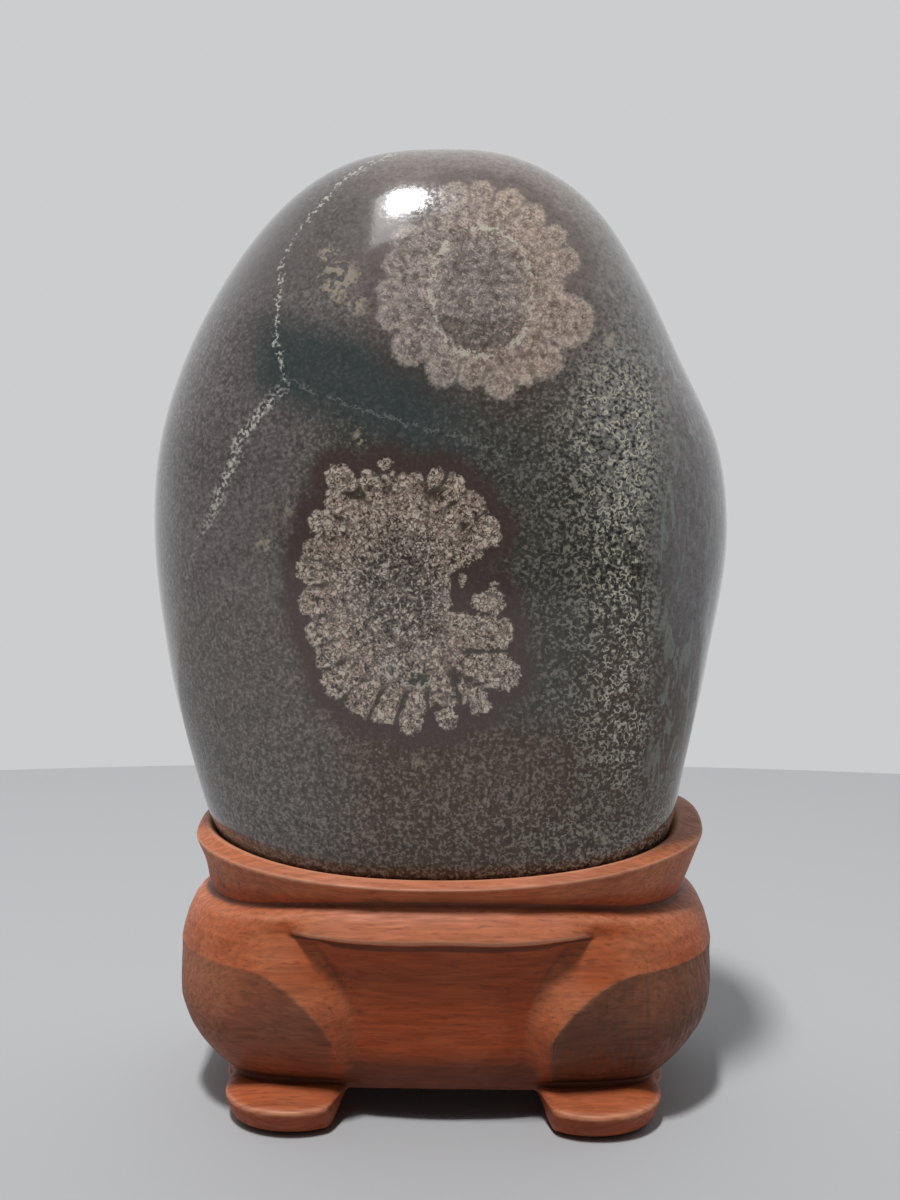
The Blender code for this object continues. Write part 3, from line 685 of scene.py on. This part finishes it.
towards_back = stone_grid[..., 1] / MM + 7 * cloud
smears = smooth_step(across + 3.5 * cloud, 41, 51) * above_foot * (1 - smooth_step(towards_back, -6, 22))
speckle = speckle * (1 - 0.85 * smears)
speckle = speckle * (0.3 + 0.7 * smooth_step(height, 50, 58))
speckle = speckle * (1 - 0.8 * dark_band)

stone = closed_skin("polished_stone", stone_grid, (0, 0, STONE_FOOT), (0, 0, STONE_TOP), {
    "ground": ground,
    "bloom": np.stack([bloom_depth, bloom_share, 1.0 * is_upper], axis=-1),
    "bloom_way": np.stack([bloom_x / bloom_reach, bloom_z / bloom_reach, bloom_reach], axis=-1),
    "marks": np.stack([np.where(in_front, hollow_depth, NO_MARK), np.where(in_front, spot_depth, NO_MARK),
                       off_ring], axis=-1),
    "veins": np.stack([long_side, long_shown, grainy], axis=-1),
    "thin_vein": np.stack([short_side, short_shown * in_front, speckle], axis=-1),
    "lobe_lead": lobe_lead,
    "smears": smears})

rock, rock_shader = new_material("polished patterned rock", Roughness=0.14, IOR=1.5, Coat_Weight=0.2,
                                 Coat_Roughness=0.05)
place = add(rock, "TexCoord", {}, out=3)
place = add(rock, "VectorMath", {0: place, 1: (1 / MM,) * 3}, operation="MULTIPLY")
ground = add(rock, "Attribute", {}, attribute_name="ground")
bloom, way, marks, veins, thin_vein = (
    add(rock, "Attribute", {}, out=1, attribute_name=field)
    for field in ("bloom", "bloom_way", "marks", "veins", "thin_vein"))
depth = add(rock, "SeparateXYZ", {0: bloom})
share_out, upper = depth.node.outputs[1], depth.node.outputs[2]
hollow = add(rock, "SeparateXYZ", {0: marks})
spot, off_ring = hollow.node.outputs[1], hollow.node.outputs[2]
vein_side = add(rock, "SeparateXYZ", {0: veins})
vein_shown, vein_grainy = vein_side.node.outputs[1], vein_side.node.outputs[2]
thin_side = add(rock, "SeparateXYZ", {0: thin_vein})
thin_shown, speckled = thin_side.node.outputs[1], thin_side.node.outputs[2]

# Grains of about 1 mm, pits between them, and curled needles of 0.4 mm in rings of 2 mm.
grain = add(rock, "TexNoise", {"Vector": place, "Scale": 0.62, "Detail": 3.0, "Roughness": 0.65})
fine_grain = add(rock, "TexNoise", {"Vector": place, "Scale": 1.25, "Detail": 2.0})
shifted = add(rock, "TexNoise", {"Vector": place, "Scale": 0.8, "Detail": 1.0}, out=1)
shifted = add(rock, "VectorMath", {0: shifted, 1: (1.8,) * 3, 2: place}, operation="MULTIPLY_ADD")
curl = add(rock, "TexVoronoi", {"Vector": shifted, "Scale": 0.56})
broken = add(rock, "TexNoise", {"Vector": place, "Scale": 0.6, "Detail": 1.0, "W": 4.0},
             noise_dimensions="4D")
speckled_share = add(rock, "MapRange", {0: speckled, 1: 0.0, 2: 1.0, 3: 0.05, 4: 1.0})
darkest = add(rock, "MapRange", {0: speckled, 1: 0.0, 2: 0.3, 3: 0.93, 4: 0.76})
brightest = add(rock, "MapRange", {0: speckled, 1: 0.0, 2: 0.3, 3: 1.07, 4: 1.24})
tone = add(rock, "MapRange", {0: grain, 1: 0.36, 2: 0.66, 3: darkest, 4: brightest})
body = add(rock, "VectorMath", {0: ground, 3: tone}, operation="SCALE")
curl = add(rock, "Math", {0: curl, 1: 0.42}, operation="SUBTRACT")
curl = add(rock, "Math", {0: curl}, operation="ABSOLUTE")
curl = add(rock, "MapRange", {0: curl, 1: 0.05, 2: 0.10, 3: 1.0, 4: 0.0})
shown = add(rock, "MapRange", {0: broken, 1: 0.43, 2: 0.49, 3: 0.0, 4: 1.0})
curl = add(rock, "Math", {0: curl, 1: shown}, operation="MULTIPLY")
curl = add(rock, "Math", {0: curl, 1: speckled_share}, operation="MULTIPLY")
crumb_share = add(rock, "MapRange", {0: speckled, 1: 0.3, 2: 1.0, 3: 0.85, 4: 0.40})
light = add(rock, "MapRange", {0: fine_grain, 1: 0.54, 2: 0.62, 3: 0.0, 4: crumb_share})
light = add(rock, "Math", {0: light, 1: curl}, operation="MAXIMUM")
light = add(rock, "Math", {0: light, 1: speckled}, operation="MULTIPLY")
pale = add(rock, "MapRange", {0: speckled, 1: 0.3, 2: 0.9, 3: 0.0, 4: 1.0})
pale = add(rock, "Mix", {0: pale, 6: colour("#bbb0aa"), 7: colour("#d3cdbb")}, **COLOUR_MIX)
body = add(rock, "Mix", {0: light, 6: body, 7: pale}, **COLOUR_MIX)
pit = add(rock, "MapRange", {0: fine_grain, 1: 0.445, 2: 0.39, 3: 0.0, 4: 0.85})
pit = add(rock, "Math", {0: pit, 1: speckled_share}, operation="MULTIPLY")
body = add(rock, "Mix", {0: pit, 6: body, 7: colour("#242220")}, **COLOUR_MIX)

# Right of the needles the stone is smooth, with upright pale smears about 1.5 mm wide.
smears = add(rock, "Attribute", {}, out=2, attribute_name="smears")
drawn_out = add(rock, "Mapping", {"Vector": place, "Scale": (1, 1, 0.26)})
smear = add(rock, "TexNoise", {"Vector": drawn_out, "Scale": 0.42, "Detail": 3.0, "Roughness": 0.6,
                               "Distortion": 1.4})
smear = add(rock, "MapRange", {0: smear, 1: 0.51, 2: 0.62, 3: 0.0, 4: 0.5})
smear = add(rock, "Math", {0: smear, 1: smears}, operation="MULTIPLY")
body = add(rock, "Mix", {0: smear, 6: body, 7: colour("#a3aca6")}, **COLOUR_MIX)

# A dark maroon halo lies round the lower flower, and a faint one round the upper.
ragged = add(rock, "TexNoise", {"Vector": place, "Scale": 0.75, "Detail": 3.0, "Roughness": 0.7, "W": 9.0},
             noise_dimensions="4D")
ragged = add(rock, "MapRange", {0: ragged, 1: 0.25, 2: 0.75, 3: -1.0, 4: 1.0})
ragged_halo = add(rock, "Math", {0: ragged, 1: 1.2, 2: depth}, operation="MULTIPLY_ADD")
halo = add(rock, "MapRange", {0: ragged_halo, 1: -5.5, 2: -1.8, 3: 0.0, 4: 0.85},
           interpolation_type="SMOOTHSTEP")
halo_fade = add(rock, "MapRange", {0: upper, 1: 0.0, 2: 1.0, 3: 1.0, 4: 0.35})
halo = add(rock, "Math", {0: halo, 1: halo_fade}, operation="MULTIPLY")
body = add(rock, "Mix", {0: halo, 6: body, 7: colour("#503f3b")}, **COLOUR_MIX)

# The flowers: grains, needles that run outwards, cracks between the lobes and arcs round them.
edge_depth = add(rock, "Math", {0: depth, 1: ragged}, operation="ADD")
crisp_flower = add(rock, "MapRange", {0: edge_depth, 1: -0.25, 2: 0.25, 3: 0.0, 4: 1.0})
soft_flower = add(rock, "MapRange", {0: edge_depth, 1: -0.5, 2: 0.7, 3: 0.0, 4: 0.95})
flower_shown = add(rock, "Mix", {0: upper, 2: crisp_flower, 3: soft_flower}, data_type="FLOAT")
towards_rim = add(rock, "MapRange", {0: share_out, 1: 0.34, 2: 0.74, 3: 0.0, 4: 1.0},
                  interpolation_type="SMOOTHSTEP")
rim_tint = add(rock, "Mix", {0: upper, 6: colour("#ab9688"), 7: colour("#ad998d")}, **COLOUR_MIX)
core_tint = add(rock, "Mix", {0: upper, 6: colour("#857b72"), 7: colour("#968b84")}, **COLOUR_MIX)
petal = add(rock, "Mix", {0: towards_rim, 6: core_tint, 7: rim_tint}, **COLOUR_MIX)
# The left half of the upper flower is greyer.
across_it = add(rock, "SeparateXYZ", {0: place})
mauve = add(rock, "MapRange", {0: across_it, 1: -6.0, 2: 18.0, 3: 0.75, 4: 0.0})
mauve = add(rock, "Math", {0: mauve, 1: upper}, operation="MULTIPLY")
petal = add(rock, "Mix", {0: mauve, 6: petal, 7: colour("#938987")}, **COLOUR_MIX)
petal_tone = add(rock, "MapRange", {0: grain, 1: 0.35, 2: 0.68, 3: 0.70, 4: 1.36})
petal = add(rock, "VectorMath", {0: petal, 3: petal_tone}, operation="SCALE")
blotched = add(rock, "MapRange", {0: broken, 1: 0.38, 2: 0.62, 3: 0.82, 4: 1.18})
petal = add(rock, "VectorMath", {0: petal, 3: blotched}, operation="SCALE")
outwards = add(rock, "VectorMath", {0: way, 1: (19.0, 19.0, 0.55)}, operation="MULTIPLY")
streak = add(rock, "TexNoise", {"Vector": outwards, "Scale": 1.0, "Detail": 2.0, "Roughness": 0.6})
streak = add(rock, "MapRange", {0: streak, 1: 0.58, 2: 0.63, 3: 0.0, 4: 0.7})
streaked = add(rock, "MapRange", {0: upper, 1: 0.0, 2: 1.0, 3: towards_rim, 4: 1.0})
streak = add(rock, "Math", {0: streak, 1: streaked}, operation="MULTIPLY")
round_it = add(rock, "VectorMath", {0: way, 1: (3.4, 3.4, 1.5)}, operation="MULTIPLY")
arc = add(rock, "TexNoise", {"Vector": round_it, "Scale": 1.0, "Detail": 2.0, "Roughness": 0.5})
arc = add(rock, "MapRange", {0: arc, 1: 0.60, 2: 0.64, 3: 0.0, 4: 0.45})
in_arcs = add(rock, "MapRange", {0: share_out, 1: 0.42, 2: 0.58, 3: 0.0, 4: 1.0})
arc = add(rock, "Math", {0: arc, 1: in_arcs}, operation="MULTIPLY")
lead = add(rock, "Attribute", {}, out=2, attribute_name="lobe_lead")
lead = add(rock, "Math", {0: ragged, 1: 0.9, 2: lead}, operation="MULTIPLY_ADD")
crack = add(rock, "MapRange", {0: lead, 1: 0.5, 2: 1.2, 3: 0.9, 4: 0.0})
near_rim = add(rock, "MapRange", {0: share_out, 1: 0.72, 2: 0.90, 3: 0.0, 4: 1.0})
crack = add(rock, "Math", {0: crack, 1: near_rim}, operation="MULTIPLY")
fleck = add(rock, "TexNoise", {"Vector": place, "Scale": 1.05, "Detail": 2.5, "Distortion": 1.6, "W": 2.0},
            noise_dimensions="4D")
core = add(rock, "MapRange", {0: share_out, 1: 0.35, 2: 0.65, 3: 0.17, 4: 0.13})
fleck = add(rock, "Math", {0: fleck, 1: core}, operation="SUBTRACT")
fleck = add(rock, "Math", {0: broken, 1: 0.28, 2: fleck}, operation="MULTIPLY_ADD")
dark_fleck = add(rock, "MapRange", {0: fleck, 1: 0.455, 2: 0.39, 3: 0.0, 4: 0.9})
light_fleck = add(rock, "MapRange", {0: fleck, 1: 0.53, 2: 0.60, 3: 0.0, 4: 0.85})
crevice = add(rock, "TexVoronoi", {"Vector": shifted, "Scale": 0.55}, feature="DISTANCE_TO_EDGE")
crevice = add(rock, "MapRange", {0: crevice, 1: 0.03, 2: 0.09, 3: 0.75, 4: 0.0})
crevice = add(rock, "Math", {0: crevice, 1: shown}, operation="MULTIPLY")
darkness = streak
for darker in (arc, crevice, crack, dark_fleck):
    darkness = add(rock, "Math", {0: darkness, 1: darker}, operation="MAXIMUM")
softer = add(rock, "MapRange", {0: upper, 1: 0.0, 2: 1.0, 3: 1.0, 4: 0.5})
darkness = add(rock, "Math", {0: darkness, 1: softer}, operation="MULTIPLY")
lobe_edge = add(rock, "MapRange", {0: edge_depth, 1: 0.4, 2: 1.6, 3: 0.45, 4: 0.0})
light_fleck = add(rock, "Math", {0: light_fleck, 1: softer}, operation="MULTIPLY")
light_fleck = add(rock, "Math", {0: light_fleck, 1: lobe_edge}, operation="MAXIMUM")
petal = add(rock, "Mix", {0: light_fleck, 6: petal, 7: colour("#e4d6c5")}, **COLOUR_MIX)
petal = add(rock, "Mix", {0: darkness, 6: petal, 7: colour("#382c25")}, **COLOUR_MIX)

# Hollows in them are greenish black with pale edges, and a pale ring runs round the upper core.
wavy = add(rock, "Math", {0: ragged, 1: 1.3}, operation="MULTIPLY")
hollow = add(rock, "Math", {0: hollow, 1: wavy}, operation="ADD")
hollow_edge = add(rock, "Math", {0: hollow}, operation="ABSOLUTE")
hollow_edge = add(rock, "MapRange", {0: hollow_edge, 1: 0.15, 2: 0.40, 3: 0.7, 4: 0.0})
hollow_most = add(rock, "MapRange", {0: upper, 1: 0.0, 2: 1.0, 3: 0.85, 4: 0.6})
hollow = add(rock, "MapRange", {0: hollow, 1: -0.1, 2: 0.6, 3: 0.0, 4: hollow_most})
hollow = add(rock, "Math", {0: hollow, 1: shown}, operation="MULTIPLY")
hollow_edge = add(rock, "Math", {0: hollow_edge, 1: shown}, operation="MULTIPLY")
hollow_edge = add(rock, "Math", {0: hollow_edge, 1: upper}, operation="SUBTRACT", use_clamp=True)
petal = add(rock, "Mix", {0: hollow, 6: petal, 7: colour("#36382f")}, **COLOUR_MIX)
ring = add(rock, "Math", {0: off_ring, 1: wavy}, operation="ADD")
ring = add(rock, "Math", {0: ring}, operation="ABSOLUTE")
ring = add(rock, "MapRange", {0: ring, 1: 0.15, 2: 0.50, 3: 0.9, 4: 0.0})
ring = add(rock, "Math", {0: ring, 1: shown}, operation="MULTIPLY")
ring = add(rock, "Math", {0: ring, 1: upper}, operation="MULTIPLY")
pale_line = add(rock, "Math", {0: ring, 1: hollow_edge}, operation="MAXIMUM")
petal = add(rock, "Mix", {0: pale_line, 6: petal, 7: colour("#cfc7b8")}, **COLOUR_MIX)
body = add(rock, "Mix", {0: flower_shown, 6: body, 7: petal}, **COLOUR_MIX)

# Loose tan spots, and the veins: a hair of white, grainy and wider where it bends.
spot = add(rock, "Math", {0: ragged, 1: 2.2, 2: spot}, operation="MULTIPLY_ADD")
spot = add(rock, "MapRange", {0: spot, 1: -0.4, 2: 1.2, 3: 0.0, 4: 0.7})
spot = add(rock, "Math", {0: spot, 1: shown}, operation="MULTIPLY")
body = add(rock, "Mix", {0: spot, 6: body, 7: colour("#b3a794")}, **COLOUR_MIX)
vein_side = add(rock, "Math", {0: vein_side, 1: wavy}, operation="ADD")
vein_side = add(rock, "Math", {0: vein_side}, operation="ABSOLUTE")
hair = add(rock, "MapRange", {0: vein_side, 1: 0.15, 2: 0.55, 3: 0.85, 4: 0.0})
cluster = add(rock, "MapRange", {0: vein_side, 1: 0.3, 2: 1.7, 3: 1.0, 4: 0.0})
cluster = add(rock, "Math", {0: cluster, 1: vein_grainy}, operation="MULTIPLY")
crumbs = add(rock, "MapRange", {0: fine_grain, 1: 0.47, 2: 0.58, 3: 0.0, 4: 0.9})
cluster = add(rock, "Math", {0: cluster, 1: crumbs}, operation="MULTIPLY")
hair = add(rock, "Math", {0: hair, 1: crumbs}, operation="MULTIPLY")
vein = add(rock, "Math", {0: hair, 1: cluster}, operation="MAXIMUM")
vein = add(rock, "Math", {0: vein, 1: vein_shown}, operation="MULTIPLY")
body = add(rock, "Mix", {0: vein, 6: body, 7: colour("#d3d0c6")}, **COLOUR_MIX)
thin_side = add(rock, "Math", {0: thin_side, 1: wavy}, operation="ADD")
thin_side = add(rock, "Math", {0: thin_side}, operation="ABSOLUTE")
thin = add(rock, "MapRange", {0: thin_side, 1: 0.10, 2: 0.35, 3: 0.24, 4: 0.0})
thin = add(rock, "Math", {0: thin, 1: thin_shown}, operation="MULTIPLY")
thin = add(rock, "Math", {0: thin, 1: shown}, operation="MULTIPLY")
body = add(rock, "Mix", {0: thin, 6: body, 7: colour("#b9bcb4")}, **COLOUR_MIX)
rock.node_tree.links.new(body, rock_shader.inputs["Base Color"])

# The polish is a little duller on pits and needles, which hardly stand off the ground face, and
# duller still near the foot.
dulled = add(rock, "MapRange", {0: fine_grain, 1: 0.35, 2: 0.65, 3: 0.15, 4: 0.07})
at_foot = add(rock, "SeparateXYZ", {0: place}, out=2)
at_foot = add(rock, "MapRange", {0: at_foot, 1: 56.0, 2: 66.0, 3: 0.35, 4: 0.0})
dulled = add(rock, "Math", {0: dulled, 1: at_foot}, operation="ADD")
rock.node_tree.links.new(dulled, rock_shader.inputs["Roughness"])
relief = add(rock, "Bump", {"Height": fine_grain, "Strength": 0.12, "Distance": 0.05 * MM})
rock.node_tree.links.new(relief, rock_shader.inputs["Normal"])
stone.data.materials.append(rock)
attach(stone, "root")
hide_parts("stone")

# ------------------------------------------------------------------- table, light and camera
# A round table top in matt pale paint, under a ceiling panel with a faint glow beside it. The room
# behind it is a pale wall, and the side towards the camera is dimmer, as a room is away from its window.

TABLE_RADIUS = 1.2
TABLE_CORNERS = 256
TABLE_BACK_EDGE = 0.40
table_angle = np.arange(TABLE_CORNERS) / TABLE_CORNERS * 2 * np.pi
table_points = np.stack([TABLE_RADIUS * np.cos(table_angle),
                         TABLE_RADIUS * np.sin(table_angle) + TABLE_BACK_EDGE - TABLE_RADIUS,
                         0 * table_angle], axis=-1)
floor_mesh = bpy.data.meshes.new("table_top")
floor_mesh.from_pydata(table_points.tolist(), [], [tuple(range(TABLE_CORNERS))])
floor = bpy.data.objects.new("table_top", floor_mesh)
bpy.context.scene.collection.objects.link(floor)
paint, paint_shader = new_material("matt pale paint", Roughness=0.8)
paint_shader.inputs["Base Color"].default_value = colour("#b0b1b3")
floor_mesh.materials.append(paint)

world = bpy.data.worlds.new("room")
world.use_nodes = True
background = world.node_tree.nodes["Background"]
direction = add(world, "TexCoord", {}, out=0)
backwards = add(world, "SeparateXYZ", {"Vector": direction}, out=1)
to_wall = add(world, "MapRange", {0: backwards, 1: -0.35, 2: 0.6, 3: 0.0, 4: 1.0},
              interpolation_type="SMOOTHSTEP")
room = add(world, "Mix", {0: to_wall, 6: colour("#414345"), 7: colour("#e4e7e9")}, **COLOUR_MIX)
seen = add(world, "LightPath", {}, out=0)
room = add(world, "Mix", {0: seen, 6: room, 7: colour("#cbcdcf")}, **COLOUR_MIX)
world.node_tree.links.new(room, background.inputs["Color"])
bpy.context.scene.world = world

for name, width, length, watts, location in (("ceiling_panel", 0.18, 0.36, 42, (-0.26, -0.65, 2.2)),
                                             ("ceiling_glow", 0.34, 0.80, 3.5, (-0.37, -0.87, 2.2))):
    lamp_data = bpy.data.lights.new(name, "AREA")
    lamp_data.shape = "RECTANGLE"
    lamp_data.size = width
    lamp_data.size_y = length
    lamp_data.energy = watts
    lamp = bpy.data.objects.new(name, lamp_data)
    lamp.location = location
    lamp.rotation_euler = (0.30, -0.12, 0)
    bpy.context.scene.collection.objects.link(lamp)

camera_data = bpy.data.cameras.new("camera")
camera_data.sensor_width = 36
camera_data.lens = 39
camera_data.clip_start = 0.01
camera = bpy.data.objects.new("camera", camera_data)
camera.location = (0.01174, -0.31628, 0.135)
camera.rotation_euler = (np.radians(86.5), 0, np.radians(1.8))
bpy.context.scene.collection.objects.link(camera)
bpy.context.scene.camera = camera
bpy.context.scene.view_settings.view_transform = "Standard"
